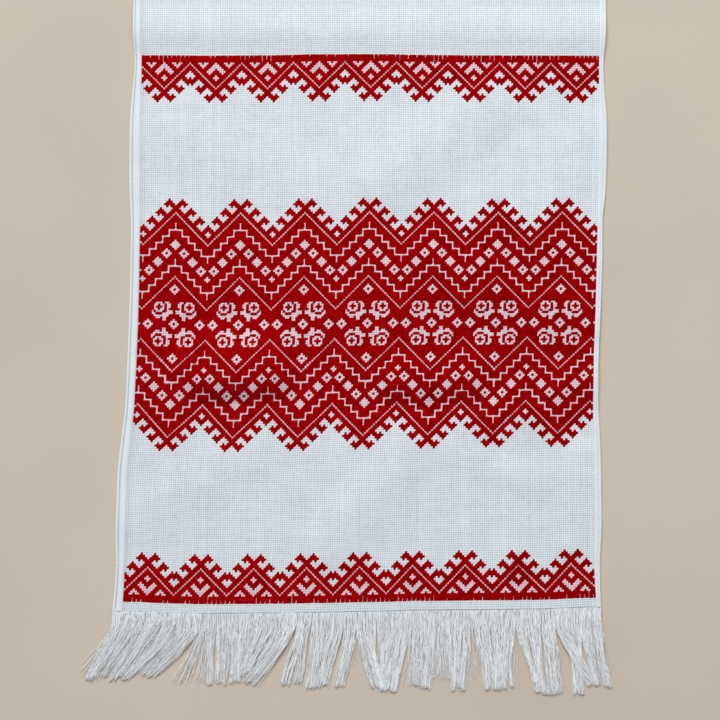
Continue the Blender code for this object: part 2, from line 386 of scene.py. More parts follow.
# Heights of a thread: at its root as shares of the cloth's thickness, at its tip, between
ROOT_HEIGHTS = (0.2, 0.5)
TIP_HEIGHT = 1 * MM
ARCH_UNEVEN = 0.6 * MM
ARCH_POWER = 0.7
LEAN_A_LIFT = 25
LEAN_LIFT = 1.2 * MM
RIPPLE_HEIGHT = 0.2 * MM
RIPPLE_WAVES = 13

# Sewing of the hems, whose stitches plunge in at both ends
SEWING_PITCH = 3.4 * MM
SEWING_LENGTH = 2.7 * MM
SEWING_RADIUS = 0.17 * MM
SEWING_STEPS = 5
SEWING_RISE = 0.12 * MM
SEWING_PLUNGE = 0.45 * MM
SEWING_SHIFT = 0.12 * MM
SEWING_WANDER = 0.05 * MM

# Threads of the ground: the opening beside one in stitches, how long it keeps one tone
OPEN_SHARE = (0.03, 0.2)
COLUMN_RUN = 70
ROW_RUN = 50
BRIGHT_THREADS = (0.74, 0.8)

# What each part of the ground adds to its shade, and the relief that its hems keep; openings, holes
# and the hem's fold add painted shade
BESIDE_PAINTED_SHADE = 0.16
ALONG_PAINTED_SHADE = 0.13
HOLE_PAINTED_SHADE = 0.34
PATCH_SHADES = (0.75, 1.2)
CELL_SHADES = (0.4, 1.2)
BRIGHT_SHADE = 0.05
ROW_SHADE = 0.03
COLUMN_SHADE = 0.035
END_SHADE = 0.02
CLOUD_SHADE = 0.1
FINE_SHADE = 0.05
HEM_SHADE = 0.06
FOLD_PAINTED_SHADE = 0.3
LEAST_SHADE = 0.02
DARKEST_SHADE = 0.6
HEM_RELIEF = 0.15

# Painted red light and painted shade in bare cells: its strength, and between how many stitches out
# it fades
BAND_PAINTED_LIGHT = 0.8
BAND_PAINTED_LIGHT_FADE = (46.0, 64.0)
BORDER_PAINTED_LIGHT = 0.9
BORDER_PAINTED_LIGHT_FADE = (11.0, 25.0)


def edge_at(distance, column):
    """One side edge at these distances from the middle, smooth through its table."""
    last = len(SIDE_EDGES) - 1
    places, values = SIDE_EDGES[:, 0], SIDE_EDGES[:, column]
    row = np.clip(np.searchsorted(places, distance, side="right") - 1, 0, last - 1)
    start, end = values[row], values[row + 1]
    before, after = values[np.maximum(row - 1, 0)], values[np.minimum(row + 2, last)]
    part = np.clip((distance - places[row]) / (places[row + 1] - places[row]), 0, 1)
    ease = part * part * (3 - 2 * part)
    leaving = (end - before) * part * (1 - part) ** 2 / 2
    arriving = (after - start) * part ** 2 * (1 - part) / 2
    return start + (end - start) * ease + leaving - arriving


def side_lines(y):
    """x of the left edge, of both edges of the stitched field and of the right edge at each y."""
    near = [edge_at(np.abs(y), column) for column in (1, 2, 3, 4)]
    return [np.where(y <= 0, here, -there) for here, there in zip(near, reversed(near))]


def weave_push(x, y):
    """How far the weave is pushed to +X and to +Y of its even place at x, y."""
    turn = np.where(y <= 0, 1.0, -1.0)
    x, distance = np.broadcast_arrays(turn * x, np.abs(y))
    table = WEAVE_PUSHES
    row = np.clip(np.searchsorted(table[:, 0], distance, side="right") - 1, 0, len(table) - 2)
    part = np.clip((distance - table[row, 0]) / (table[row + 1, 0] - table[row, 0]), 0, 1)
    column = np.clip(np.searchsorted(WEAVE_PLACES, x, side="right") - 1, 0, len(WEAVE_PLACES) - 2)
    start, end = WEAVE_PLACES[column], WEAVE_PLACES[column + 1]
    share = np.clip((x - start) / (end - start), 0, 1)
    part, share = (value * value * (3 - 2 * value) for value in (part, share))
    here, ahead = (
        table[row + step, column + 2] * (1 - share) + table[row + step, column + 3] * share
        for step in (0, 1)
    )
    along = here * (1 - part) + ahead * part
    middle = np.maximum(0, 1 - (x / WEAVE_PLACES[0]) ** 2)
    across = (table[row, 1] * (1 - part) + table[row + 1, 1] * part) * middle
    return turn * across, turn * along


def underside(x, y):
    """Height of the cloth's underside above the floor, from its waves and ripples."""
    height = np.zeros(np.shape(x))
    for start_x, start_y, end_x, end_y, half_width, top, skew in WAVES:
        run_x, run_y = (end_x - start_x) * MM, (end_y - start_y) * MM
        from_x, from_y = x - start_x * MM, y - start_y * MM
        along = np.clip((from_x * run_x + from_y * run_y) / (run_x ** 2 + run_y ** 2), 0, 1)
        distance = np.hypot(from_x - along * run_x, from_y - along * run_y)
        to_left = (from_y * run_x - from_x * run_y) / math.hypot(run_x, run_y)
        reach = half_width * MM * (1 + skew * to_left / np.maximum(distance, 1e-9))
        height += top * MM * np.maximum(0, 1 - (distance / reach) ** 2) ** 2
    for across, along, turn, top in RIPPLES:
        turned_x = x * math.cos(turn) + y * math.sin(turn)
        turned_y = y * math.cos(turn) - x * math.sin(turn)
        wave = np.sin(math.tau * turned_x / across) * np.sin(math.tau * turned_y / along)
        height += top * (1 + wave)
    return height


def row_places(rows):
    """Distance from the towel's middle towards -Y of row lines counted from the near end."""
    return HALF_LENGTH - np.interp(rows, SECTION_ROWS, SECTION_PLACES)


def lay_stitches(columns, rows, far=False):
    """x and y of stitch corners, counted from the near end and its left field edge."""
    y = -row_places(rows)
    _, left, right, _ = side_lines(y)
    x = left + (right - left) * columns / STITCHES_ACROSS
    push_x, push_y = weave_push(x, y)
    x, y = x + push_x, y + push_y
    return (-x, -y) if far else (x, y)


def add_object(name, data):
    """A new object in the scene."""
    item = bpy.data.objects.new(name, data)
    bpy.context.scene.collection.objects.link(item)
    return item


def make_piece(name, points, faces, material, fields, smooth=None):
    """A mesh piece that rides on the towel, with what its material reads on its points."""
    mesh = bpy.data.meshes.new(name)
    mesh.from_pydata(points.tolist(), [], faces)
    for field, values in fields.items():
        layer = mesh.attributes.new(field, "FLOAT_VECTOR", "POINT")
        layer.data.foreach_set("vector", np.ascontiguousarray(values, np.float32).ravel())
    mesh.polygons.foreach_set("use_smooth", smooth or [True] * len(mesh.polygons))
    mesh.materials.append(material)
    mesh.update()
    piece = add_object(name, mesh)
    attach(piece, "root")
    return piece


def grid_faces(down, across):
    """Quads of a grid numbered row by row, facing up if its rows go towards +Y."""
    first = (np.arange(down - 1)[:, None] * across + np.arange(across - 1)).ravel()
    return np.stack([first, first + 1, first + across + 1, first + across], 1)


# The cloth

def hem_lines(edge, field_edge, sewing_depth):
    """x, top height, underside height and share of the width of each line of a hem, edge first."""
    lines = []
    for share, top, bottom, sewing in HEM_PROFILE:
        x = edge + (field_edge - edge) * share
        height = HEM_THICKNESS * top - sewing_depth * sewing
        lines.append((x, height, HEM_THICKNESS * bottom, share))
    return lines


def make_cloth(material):
    """The towel's one woven cloth as a closed thin sheet, with turned hems at its sides."""
    near_rows = np.append(0, np.linspace(END_ROW, SECTION_ROWS[-1], CLOTH_ROWS // 2))
    rows = np.concatenate([near_rows, 2 * SECTION_ROWS[-1] - near_rows[-2::-1]])
    y = np.concatenate([-row_places(near_rows), row_places(near_rows[-2::-1])])
    left, field_left, field_right, right = side_lines(y)
    lines = []
    for x, top, bottom, share in hem_lines(left, field_left, LEFT_SEWING_DEPTH):
        lines.append((x, top, bottom, -HEM_COLUMNS * (1 - share), 1.0))
    for index in range(FIELD_LINES + 1):
        part = index / FIELD_LINES
        x = field_left + (field_right - field_left) * part
        lines.append((x, FIELD_THICKNESS, 0.0, STITCHES_ACROSS * part, 0.0))
    for x, top, bottom, share in reversed(hem_lines(right, field_right, RIGHT_SEWING_DEPTH)):
        lines.append((x, top, bottom, STITCHES_ACROSS + HEM_COLUMNS * (1 - share), 1.0))
    x = np.stack([line[0] for line in lines], 1)
    top, bottom, column, hem = (np.array([line[item] for line in lines]) for item in (1, 2, 3, 4))
    push_x, push_y = weave_push(x, y[:, None])
    x, y = x + push_x, y[:, None] + push_y
    base = underside(x, y)
    upper = np.stack([x, y, base + top], 2).reshape(-1, 3)
    lower = np.stack([x, y, base + bottom], 2).reshape(-1, 3)
    down, across = x.shape
    count = down * across
    over = grid_faces(down, across)
    under = over[:, ::-1] + count
    rim = np.concatenate([
        np.arange(across - 1),
        np.arange(down - 1) * across + across - 1,
        (down - 1) * across + np.arange(across - 1, 0, -1),
        np.arange(down - 1, 0, -1) * across,
    ])
    following = np.roll(rim, -1)
    walls = np.stack([rim, rim + count, following + count, following], 1)
    faces = np.concatenate([over, under, walls]).tolist()
    weave = np.stack(np.broadcast_arrays(column, rows[:, None], hem), 2).reshape(-1, 3)
    points, weave = np.concatenate([upper, lower]), np.tile(weave, (2, 1))
    cloth = make_piece("cloth_woven", points, faces, material, {"weave": weave})
    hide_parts("cloth")
    return cloth


# The counted stitching

def from_peak(columns, period):
    """Stitches from each column to the nearest peak of a zigzag with this period."""
    return np.abs((columns + period // 2) % period - period // 2)


def hooked_edge(across, beyond, half_period, hooks):
    """Red cells past a band's zigzag: the line along it and the hooks that stand on that."""
    red = (across + beyond >= 1) & (across + beyond <= EDGE_LINE)
    for hook in range(hooks):
        for cell_across, cell_beyond in HOOK_CELLS:
            at_row = beyond == cell_beyond - HOOK_PITCH * hook
            for side in (across, 2 * half_period - across):
                red |= at_row & (side == cell_across + HOOK_PITCH * hook)
    return red


def diamond(across, along, size):
    """Cells no further than this from a diamond's middle."""
    return np.abs(across) + np.abs(along) <= size


def main_chart():
    """Red cells of the main band, whose two halves mirror each other, and its thin bare lines."""
    columns = from_peak(np.arange(STITCHES_ACROSS) - MIDDLE_STITCH, 2 * BAND_HALF_REPEAT)
    across, along = np.meshgrid(columns, np.abs(np.arange(-BAND_HALF_ROWS, BAND_HALF_ROWS + 1)))
    thin = (across + along == BAND_EDGE) | (across + along == BAND_INNER_LINE)
    white = np.zeros(across.shape, bool)
    for top in STAIR_TOPS:
        for step in range(STAIR_TREADS):
            level, start = top - TREAD * step, TREAD * step
            white |= (along == level) & (across >= start) & (across <= start + TREAD)
            if step < STAIR_TREADS - 1:
                white |= (across == start + TREAD) & (along <= level) & (along >= level - TREAD)
        thin |= (across == 0) & (along > top) & (along <= top + TREAD)
        thin |= (across == BAND_HALF_REPEAT) & (along < level) & (along >= level - TREAD)
    for place, row, size, holed in DIAMONDS:
        white |= diamond(across - place, along - row, size)
        if holed:
            white &= ~((across == place) & (along == row))
    for row, cells in enumerate(ROSE):
        for column, cell in enumerate(cells):
            if cell == "#":
                white |= (across == ROSE_PLACE - column) & (along == ROSE_PLACE - row)
    hooks = hooked_edge(across, along - BAND_EDGE, BAND_HALF_REPEAT, BAND_HOOKS)
    red = np.where(across + along <= BAND_EDGE, ~white & ~thin, hooks)
    return red, thin


def border_chart():
    """Red cells of a border from its straight edge to its hooks' tips, and its thin line."""
    columns = from_peak(np.arange(STITCHES_ACROSS) - MIDDLE_STITCH, 2 * BORDER_HALF_REPEAT)
    rows = np.arange(BORDER_START, BORDER_START - BORDER_ROWS, -1)
    across, row = np.meshgrid(columns, rows)
    # A small bare diamond under the peak, a bare chevron below it and a notched tooth beside that
    white = diamond(across, row + 7, 1)
    white |= (across < 4) & (row <= -across) & (row >= -across - 2)
    white |= (across == 4) & (row == -4)
    white |= (row <= 0) & (row >= -2) & (np.abs(across - 6) <= 2 + row)
    white &= ~((across == 6) & (row == 0))
    edge = across - BORDER_HALF_REPEAT
    thin = row == edge
    hooks = hooked_edge(across, -BORDER_HALF_REPEAT - row, BORDER_HALF_REPEAT, BORDER_HOOKS)
    red = np.where(row >= edge, ~white & ~thin, hooks)
    return red, thin


def stitch_lattice(red, thin, straight_row):
    """Height and spread of the corners, edge middles and centres of a chart's cells."""
    rows, columns = red.shape
    shape = (2 * rows + 1, 2 * columns + 1)
    red = np.pad(red, 1)
    spread = np.where(red, 0.0, np.where(np.pad(thin, 1), THIN_SPREAD, SPREAD))
    heights = np.full(shape, STITCH_SUNK)
    row_spread, column_spread = np.zeros(shape), np.zeros(shape)

    inner = red[1:-1, 1:-1]
    heights[1::2, 1::2] = STITCH_HEIGHT + DRAWS.normal(0, STITCH_UNEVEN, inner.shape)

    corners = [red[:-1, :-1], red[:-1, 1:], red[1:, :-1], red[1:, 1:]]
    low_left, low_right, high_left, high_right = (cell.astype(int) for cell in corners)
    count = low_left + low_right + high_left + high_right
    reach = np.max([spread[:-1, :-1], spread[:-1, 1:], spread[1:, :-1], spread[1:, 1:]], 0)
    corner_reach = reach * np.select([count == 3, count == 1], [BARE_CORNER, RED_CORNER], 1.0)
    row_spread[::2, ::2] = corner_reach * (low_left + low_right - high_left - high_right) / 2
    column_spread[::2, ::2] = corner_reach * (low_left + high_left - low_right - high_right) / 2

    before, after = red[:-1, 1:-1], red[1:, 1:-1]
    heights[::2, 1::2][before & after] = STITCH_DIP
    edge_reach = np.maximum(spread[:-1, 1:-1], spread[1:, 1:-1])
    edge_reach = edge_reach * np.where(count[:, :-1] * count[:, 1:] == 3, STEP_EDGE, 1.0)
    row_spread[::2, 1::2] = edge_reach * (before.astype(int) - after)

    left, right = red[1:-1, :-1], red[1:-1, 1:]
    heights[1::2, ::2][left & right] = STITCH_GROOVE
    edge_reach = np.maximum(spread[1:-1, :-1], spread[1:-1, 1:])
    edge_reach = edge_reach * np.where(count[:-1] * count[1:] == 3, STEP_EDGE, 1.0)
    column_spread[1::2, ::2] = edge_reach * (left.astype(int) - right)
    across_corner = (count == 2) & (low_left == high_right)
    touching = np.where(reach == THIN_SPREAD, THIN_CORNER, CORNER_TOUCH)
    heights[::2, ::2] = np.where(across_corner, touching, STITCH_SUNK)
    heights[::2, ::2][count == 4] = CROSSING_GROOVE

    if straight_row is not None:
        slits = np.nonzero(DRAWS.random(columns // SLIT_PITCH + 1) < SLIT_CHANCE)[0]
        for slit in slits:
            depth = DRAWS.choice(SLIT_DEPTHS)
            cut = slice(0, depth + 1) if straight_row == 0 else slice(-depth - 1, None)
            heights[cut, 2 * SLIT_PITCH * slit] = DRAWS.uniform(*SLIT_SUNK)
    return heights, row_spread, column_spread


def make_stitching(name, chart, first_row, far, material, straight_row):
    """One band of raised stitches on the cloth, one small arch for each red cell of its chart."""
    red, thin = chart
    rows, columns = red.shape
    heights, row_spread, column_spread = stitch_lattice(red, thin, straight_row)
    half_rows, half_columns = np.arange(2 * rows + 1), np.arange(2 * columns + 1)
    even_rows, even_columns = np.meshgrid(half_rows / 2, half_columns / 2, indexing="ij")
    laid_rows = even_rows + row_spread + DRAWS.normal(0, LAID_UNEVEN, heights.shape)
    laid_columns = even_columns + column_spread + DRAWS.normal(0, LAID_UNEVEN, heights.shape)
    x, y = lay_stitches(laid_columns, laid_rows + first_row, far)
    z = underside(x, y) + FIELD_THICKNESS + heights
    across = len(half_columns)
    row, column = np.nonzero(red)
    corner = 2 * row * across + 2 * column
    quads = []
    for down, right in ((0, 0), (0, 1), (1, 0), (1, 1)):
        first = corner + down * across + right
        quads.append(np.stack([first, first + 1, first + across + 1, first + across], 1))
    used, quads = np.unique(np.concatenate(quads), return_inverse=True)
    points = np.stack([x.ravel(), y.ravel(), z.ravel()], 1)[used]
    weave = np.stack([even_columns.ravel(), even_rows.ravel() + first_row,
                      np.full(x.size, float(far))], 1)[used]
    return make_piece(name, points, quads.reshape(-1, 4).tolist(), material,
                      {"weave": weave})


# The fringes

def smooth_step(value):
    """A smooth slope from 0 at 0 to 1 at 1, level beyond them."""
    value = np.clip(value, 0, 1)
    return value * value * (3 - 2 * value)


def tubes(centres, radii):
    """Three-sided threads round lines of centres, an array of thread, step and x, y, z."""
    threads, steps, _ = centres.shape
    ahead = np.gradient(centres, axis=1)
    side = np.stack([-ahead[..., 1], ahead[..., 0], np.zeros(ahead.shape[:2])], 2)
    side /= np.maximum(np.linalg.norm(side, axis=2, keepdims=True), 1e-9)
    rise = np.array([0.0, 0.0, 1.0])
    rings = []
    for angle in (math.pi / 2, math.pi * 7 / 6, math.pi * 11 / 6):
        offset = side * math.cos(angle) + rise * math.sin(angle)
        rings.append(centres + offset * radii[..., None])
    points = np.stack(rings, 2).reshape(-1, 3)
    first = (np.arange(threads)[:, None] * steps + np.arange(steps - 1)).ravel() * 3
    faces = []
    for corner in range(3):
        beside = (corner + 1) % 3
        faces.append(np.stack([first + corner, first + beside, first + beside + 3,
                               first + corner + 3], 1))
    faces = np.concatenate(faces).tolist()
    starts = np.arange(threads) * steps * 3
    faces += np.stack([starts + 2, starts + 1, starts], 1).tolist()
    ends = starts + (steps - 1) * 3
    faces += np.stack([ends, ends + 1, ends + 2], 1).tolist()
    smooth = [True] * (len(faces) - 2 * threads) + [False] * (2 * threads)
    return points, faces, smooth


def thread_roots():
    """Places of the threads' roots and of their bundles' middles; hems hold twice as many."""
    lines = side_lines(np.array([-HALF_LENGTH]))
    left, field_left, field_right, right = (line[0] for line in lines)
    bundles = round((right - left) / (2 * STITCH_PITCH))
    pitch = (right - left) / bundles
    place = (np.arange(THREADS_A_BUNDLE) + 0.5) / THREADS_A_BUNDLE - 0.5
    middle = np.repeat(left + pitch * (np.arange(bundles) + 0.5), THREADS_A_BUNDLE)
    root = middle + np.tile(place, bundles) * pitch
    in_hem = np.nonzero((root < field_left) | (root > field_right))[0]
    doubled = np.concatenate([np.arange(len(root)), in_hem])
    return root[doubled], middle[doubled], pitch, field_left, field_right


def locks_of(clumps):
    """Locks of a fringe: clump, root start, middle of root and of tip, reach, tightness, sway."""
    locks = []
    for number, clump in enumerate(clumps):
        start, end, tip_start, tip_end, reach = (size * MM for size in clump[:5])
        count = max(1, round((end - start) / LOCK_PITCH))
        bounds = np.linspace(0, 1, count + 1)
        bounds[1:-1] += DRAWS.uniform(-LOCK_SIDES_UNEVEN, LOCK_SIDES_UNEVEN, count - 1) / count
        width, tip_width = end - start, tip_end - tip_start
        for low, high in zip(bounds[:-1], bounds[1:]):
            middle = (low + high) / 2
            tip = tip_start + tip_width * middle + DRAWS.normal(0, LOCK_TIP_UNEVEN)
            lock_reach = reach + DRAWS.normal(*LOCK_REACH_UNEVEN)
            tightness = tip_width / width * DRAWS.uniform(*LOCK_TIGHTNESS)
            sway = DRAWS.normal(0, LOCK_SWAY)
            locks.append((number, start + width * low, start + width * middle, tip, lock_reach,
                          tightness, sway))
    return np.array(locks)


def thread_lines(clumps):
    """Centre lines of one fringe's threads, with that end towards -Y."""
    root, bundle_middle, pitch, field_left, field_right = thread_roots()
    count = len(root)
    locks = locks_of(clumps)
    lock = np.clip(np.searchsorted(locks[:, 1], root, side="right") - 1, 0, len(locks) - 1)
    _, _, lock_root, lock_tip, reach, tightness, sway = locks[lock].T
    clump = np.array(clumps)[locks[lock, 0].astype(int)]
    start, end, tip_start, tip_end, clump_reach = clump[:, :5].T * MM
    gather_start = clump[:, 6, None]
    clump_middles = [(row[0] + row[1]) / 2 * MM for row in clumps]
    lean_start = np.interp(root, clump_middles, [row[5] for row in clumps])[:, None]
    clump_root, clump_tip = (start + end) / 2, (tip_start + tip_end) / 2
    spread = np.maximum(1, (tip_end - tip_start) / (end - start))

    loose = DRAWS.random(count) < clump[:, 7]
    stray = DRAWS.random(count) < STRAY_SHARE
    from_clump, from_lock = root - clump_root, root - lock_root
    loose_tip = clump_tip + from_clump * spread + DRAWS.normal(0, LOOSE_TIP_UNEVEN, count)
    lock_tips = lock_tip + (tightness * from_lock + DRAWS.normal(0, IN_LOCK_UNEVEN, count))
    tip = np.where(loose, loose_tip, lock_tips) + stray * DRAWS.normal(0, STRAY_TIP_UNEVEN, count)
    outer = np.array(clumps)[:, 2:4] * MM
    tip = np.clip(tip, outer.min() - STRAY_REACH, outer.max() + STRAY_REACH)
    reach = np.where(loose, clump_reach - DRAWS.gamma(*LOOSE_SHORTER, count), reach)
    reach += DRAWS.normal(0, REACH_UNEVEN, count) - stray * DRAWS.uniform(0, STRAY_SHORTER, count)
    reach = np.clip(reach, SHORTEST_THREAD, FRINGE_LENGTH)

    part = ROOT_CUT + (TIP_CUT - ROOT_CUT) * np.linspace(0, 1, THREAD_STEPS - 2) ** STEP_POWER
    part = np.concatenate([[0.0], part, [1.0]])[None, :]
    in_left_hem = root < field_left
    in_hem = in_left_hem | (root > field_right)
    _, edge_push = weave_push(root, np.full(count, -HALF_LENGTH))
    start_y = (edge_push - HALF_LENGTH + ROOT_TUCK)[:, None]
    fallen = (start_y + HALF_LENGTH + reach[:, None]) * part
    y = start_y - fallen
    held = np.where(in_left_hem, HEM_HELD, STRIP_HELD)[:, None]
    free = np.clip((fallen - held) / (fallen[:, -1:] - held), 0, 1)

    width = np.where(bundle_middle > TIGHT_PINCH_FROM, TIGHT_PINCH_WIDTH, PINCH_WIDTH)[:, None]
    near_root = np.exp(-((fallen - ROOT_TUCK - PINCH_REACH) / PINCH_REACH) ** 2)
    pinched = (1 - width / pitch) * near_root * ~in_hem[:, None]
    x = bundle_middle[:, None] + (root - bundle_middle)[:, None] * (1 - pinched)
    shift = (clump_tip - clump_root)[:, None]
    lean = shift * np.clip((free - lean_start) / (1 - lean_start), 0, 1) ** LEAN_POWER
    gathering = smooth_step((free - gather_start) / GATHER_LENGTH)
    lock_shift = np.where(loose, 0, lock_tip - lock_root - clump_tip + clump_root)[:, None]
    own_shift = (tip - root)[:, None] - shift - lock_shift
    parting = smooth_step((free - gather_start / 2) / GATHER_LENGTH)
    opening = np.where(loose[:, None], free ** LOOSE_POWER, parting)
    turn = DRAWS.uniform(0, math.tau, (3, count, 1))
    rate = DRAWS.uniform(*CRIMP_RATES, (2, count, 1))
    crimp = sum(size * np.sin(own_turn + own_rate * part * waves)
                for (size, waves), own_turn, own_rate in zip(CRIMPS, turn, rate))
    swaying = sway[:, None] * np.sin(math.tau * SWAY_TURNS * free) * ~loose[:, None]
    x = x + lean + lock_shift * gathering + own_shift * opening + swaying
    x = x + crimp * np.clip(fallen / CRIMP_FROM, 0, 1)

    layer = DRAWS.uniform(0, 1, (count, 1))
    thickness = np.where(in_hem, HEM_THICKNESS, FIELD_THICKNESS)[:, None]
    root_height = thickness * (ROOT_HEIGHTS[0] + ROOT_HEIGHTS[1] * layer)
    at_root = underside(root, start_y[:, 0])[:, None] + root_height
    at_tip = THREAD_RADIUS + TIP_HEIGHT * layer
    lift = DRAWS.uniform(0, ARCH_UNEVEN, (count, 1))
    lift = lift + np.clip(np.abs(shift) / LEAN_A_LIFT, 0, LEAN_LIFT)
    ripple = RIPPLE_HEIGHT * np.sin(turn[2] + part * RIPPLE_WAVES)
    z = at_root * (1 - part) + at_tip * part + ripple * smooth_step(part * 4)
    z = z + lift * np.sin(math.pi * part ** ARCH_POWER)
    return np.stack([x, y, np.maximum(z, THREAD_RADIUS)], 2)


def make_fringe(name, clumps, far, node, material):
    """One end's fringe: threads that leave the cloth in bundles and lie in loose locks."""
    lines = thread_lines(clumps)
    threads, steps, _ = lines.shape
    taper = np.linspace(*TAPER, steps)
    radii = THREAD_RADIUS * DRAWS.uniform(*THREAD_RADII, threads)[:, None] * taper
    points, faces, smooth = tubes(lines, radii)
    strand = np.stack([
        np.repeat(DRAWS.random(threads), steps * 3),
        np.tile(np.repeat(np.linspace(0, 1, steps), 3), threads),
        np.repeat(np.arange(threads), steps * 3) % THREAD_NUMBERS,
    ], 1)
    if far:
        points = points * np.array([-1, -1, 1])
    fringe = make_piece(name, points, faces, material, {"strand": strand}, smooth)
    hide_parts(node)
    return fringe


# The hems' sewing

def make_sewing(name, side, material):
    """Short stitches that hold one turned hem, in its drawn-in line."""
    share, top = next(row[:2] for row in HEM_PROFILE if row[3] == 1.0)
    count = int(CLOTH_LENGTH / SEWING_PITCH)
    middle = (np.arange(count) + 0.5) * SEWING_PITCH - HALF_LENGTH
    middle += DRAWS.normal(0, SEWING_SHIFT, count)
    along = np.linspace(-0.5, 0.5, SEWING_STEPS)
    y = middle[:, None] + SEWING_LENGTH * along[None, :]
    left, field_left, field_right, right = side_lines(y)
    if side == "left":
        x, depth = left + (field_left - left) * share, LEFT_SEWING_DEPTH
    else:
        x, depth = right + (field_right - right) * share, RIGHT_SEWING_DEPTH
    x = x + DRAWS.normal(0, SEWING_WANDER, (count, 1))
    push_x, push_y = weave_push(x, y)
    x, y = x + push_x, y + push_y
    groove = underside(x, y) + HEM_THICKNESS * top - depth
    z = groove + SEWING_RISE - SEWING_PLUNGE * (2 * along[None, :]) ** 4
    points, faces, smooth = tubes(np.stack([x, y, z], 2), np.full(x.shape, SEWING_RADIUS))
    strand = np.stack([
        np.repeat(DRAWS.random(count), SEWING_STEPS * 3),
        np.tile(np.repeat(along + 0.5, 3), count),
        np.repeat(np.arange(count), SEWING_STEPS * 3) % THREAD_NUMBERS,
    ], 1)
    return make_piece(name, points, faces, material, {"strand": strand}, smooth)


# Finishes

class Value:
    """A number that varies over a surface; sums and products of it add nodes."""

    def __init__(self, finish, socket):
        self.finish = finish
        self.socket = socket

    def math(self, operation, *others):
        return self.finish.node("ShaderNodeMath", {"operation": operation}, [self, *others])

    def __add__(self, other):
        return self.math("ADD", other)

    __radd__ = __add__

    def __sub__(self, other):
        return self.math("SUBTRACT", other)

    def __rsub__(self, other):
        return self.finish.node("ShaderNodeMath", {"operation": "SUBTRACT"}, [other, self])

    def __mul__(self, other):
        return self.math("MULTIPLY", other)

    __rmul__ = __mul__

    def __truediv__(self, other):
        return self.math("DIVIDE", other)


class Finish:
    """A material built up from nodes round one Principled shader."""

    # The colour sockets of a Mix node
    FIRST, SECOND, MIXED = 6, 7, 2

    def __init__(self, name, roughness, shine, sheen=0.0):
        self.material = bpy.data.materials.new(name)
        self.material.use_nodes = True
        self.tree = self.material.node_tree
        self.shader = self.tree.nodes["Principled BSDF"]
        self.shader.inputs["Roughness"].default_value = roughness
        self.shader.inputs["Specular IOR Level"].default_value = shine
        self.shader.inputs["Sheen Weight"].default_value = sheen
        self.shader.inputs["Sheen Roughness"].default_value = SHEEN_ROUGHNESS

    def node(self, kind, settings, values, output=0):
        """A node of this kind; values go to its sockets in order, or by name from a dict."""
        node = self.tree.nodes.new(kind)
        for setting, value in settings.items():
            setattr(node, setting, value)
        pairs = values.items() if isinstance(values, dict) else enumerate(values)
        for socket, value in pairs:
            if isinstance(value, Value):
                self.tree.links.new(value.socket, node.inputs[socket])
            else:
                node.inputs[socket].default_value = value
        return Value(self, node.outputs[output])

    def field(self, name):
        """The three numbers that a piece's points hold under this name."""
        place = self.node("ShaderNodeAttribute", {"attribute_name": name}, [], "Vector")
        return place, [self.node("ShaderNodeSeparateXYZ", {}, [place], axis) for axis in "XYZ"]

    def vector(self, x, y, z):
        """Three numbers as one place."""
        return self.node("ShaderNodeCombineXYZ", {}, [x, y, z])

    def noise(self, place, scale, detail, roughness):
        """A cloudy number round a half."""
        values = {"Vector": place, "Scale": scale, "Detail": detail, "Roughness": roughness}
        return self.node("ShaderNodeTexNoise", {}, values, "Fac")

    def chance(self, x, y, z):
        """A number from 0 to 1 drawn for each whole place."""
        return self.node("ShaderNodeTexWhiteNoise", {}, [self.vector(x, y, z)], "Value")

    def ramp(self, value, low, high, from_low, from_high):
        """value mapped smoothly from one range to the other, and held at its ends."""
        values = {"Value": value, "From Min": low, "From Max": high,
                  "To Min": from_low, "To Max": from_high}
        return self.node("ShaderNodeMapRange", {"interpolation_type": "SMOOTHSTEP"}, values, "Result")

    def mix(self, share, first, second):
        """A colour between two others."""
        values = {0: share, self.FIRST: first, self.SECOND: second}
        return self.node("ShaderNodeMix", {"data_type": "RGBA"}, values, self.MIXED)

    def colour(self, value):
        """The shader's colour."""
        self.tree.links.new(value.socket, self.shader.inputs["Base Color"])

    def bump(self, height, distance, strength):
        """Relief of the surface, where a height of 1 stands this distance out."""
        values = {"Strength": strength, "Distance": distance, "Height": height}
        normal = self.node("ShaderNodeBump", {}, values)
        self.tree.links.new(normal.socket, self.shader.inputs["Normal"])


def painted_red_light_and_shade(finish, column, row):
    """How much painted red light, darkened with painted shade, the bare cells of the bands hold."""
    from_middle = column - (MIDDLE_STITCH + 0.5)
    depth = (row - (MAIN_BAND_ROW + BAND_HALF_ROWS + 0.5)).math("ABSOLUTE")
    from_peak_middle = from_middle.math("PINGPONG", BAND_HALF_REPEAT) + depth
    painted_red_light = finish.ramp(from_peak_middle, *BAND_PAINTED_LIGHT_FADE, BAND_PAINTED_LIGHT, 0.0)
    for straight_row, turn in ((LOWER_BORDER_ROW, 1.0), (UPPER_BORDER_ROW + BORDER_ROWS, -1.0)):
        depth = (row - straight_row) * turn
        from_peak_middle = from_middle.math("PINGPONG", BORDER_HALF_REPEAT) + depth
        zigzag = finish.ramp(from_peak_middle, *BORDER_PAINTED_LIGHT_FADE, BORDER_PAINTED_LIGHT, 0.0)
        painted_red_light = painted_red_light + zigzag * finish.ramp(depth, -0.5, 0.5, 0.0, 1.0)
    return painted_red_light


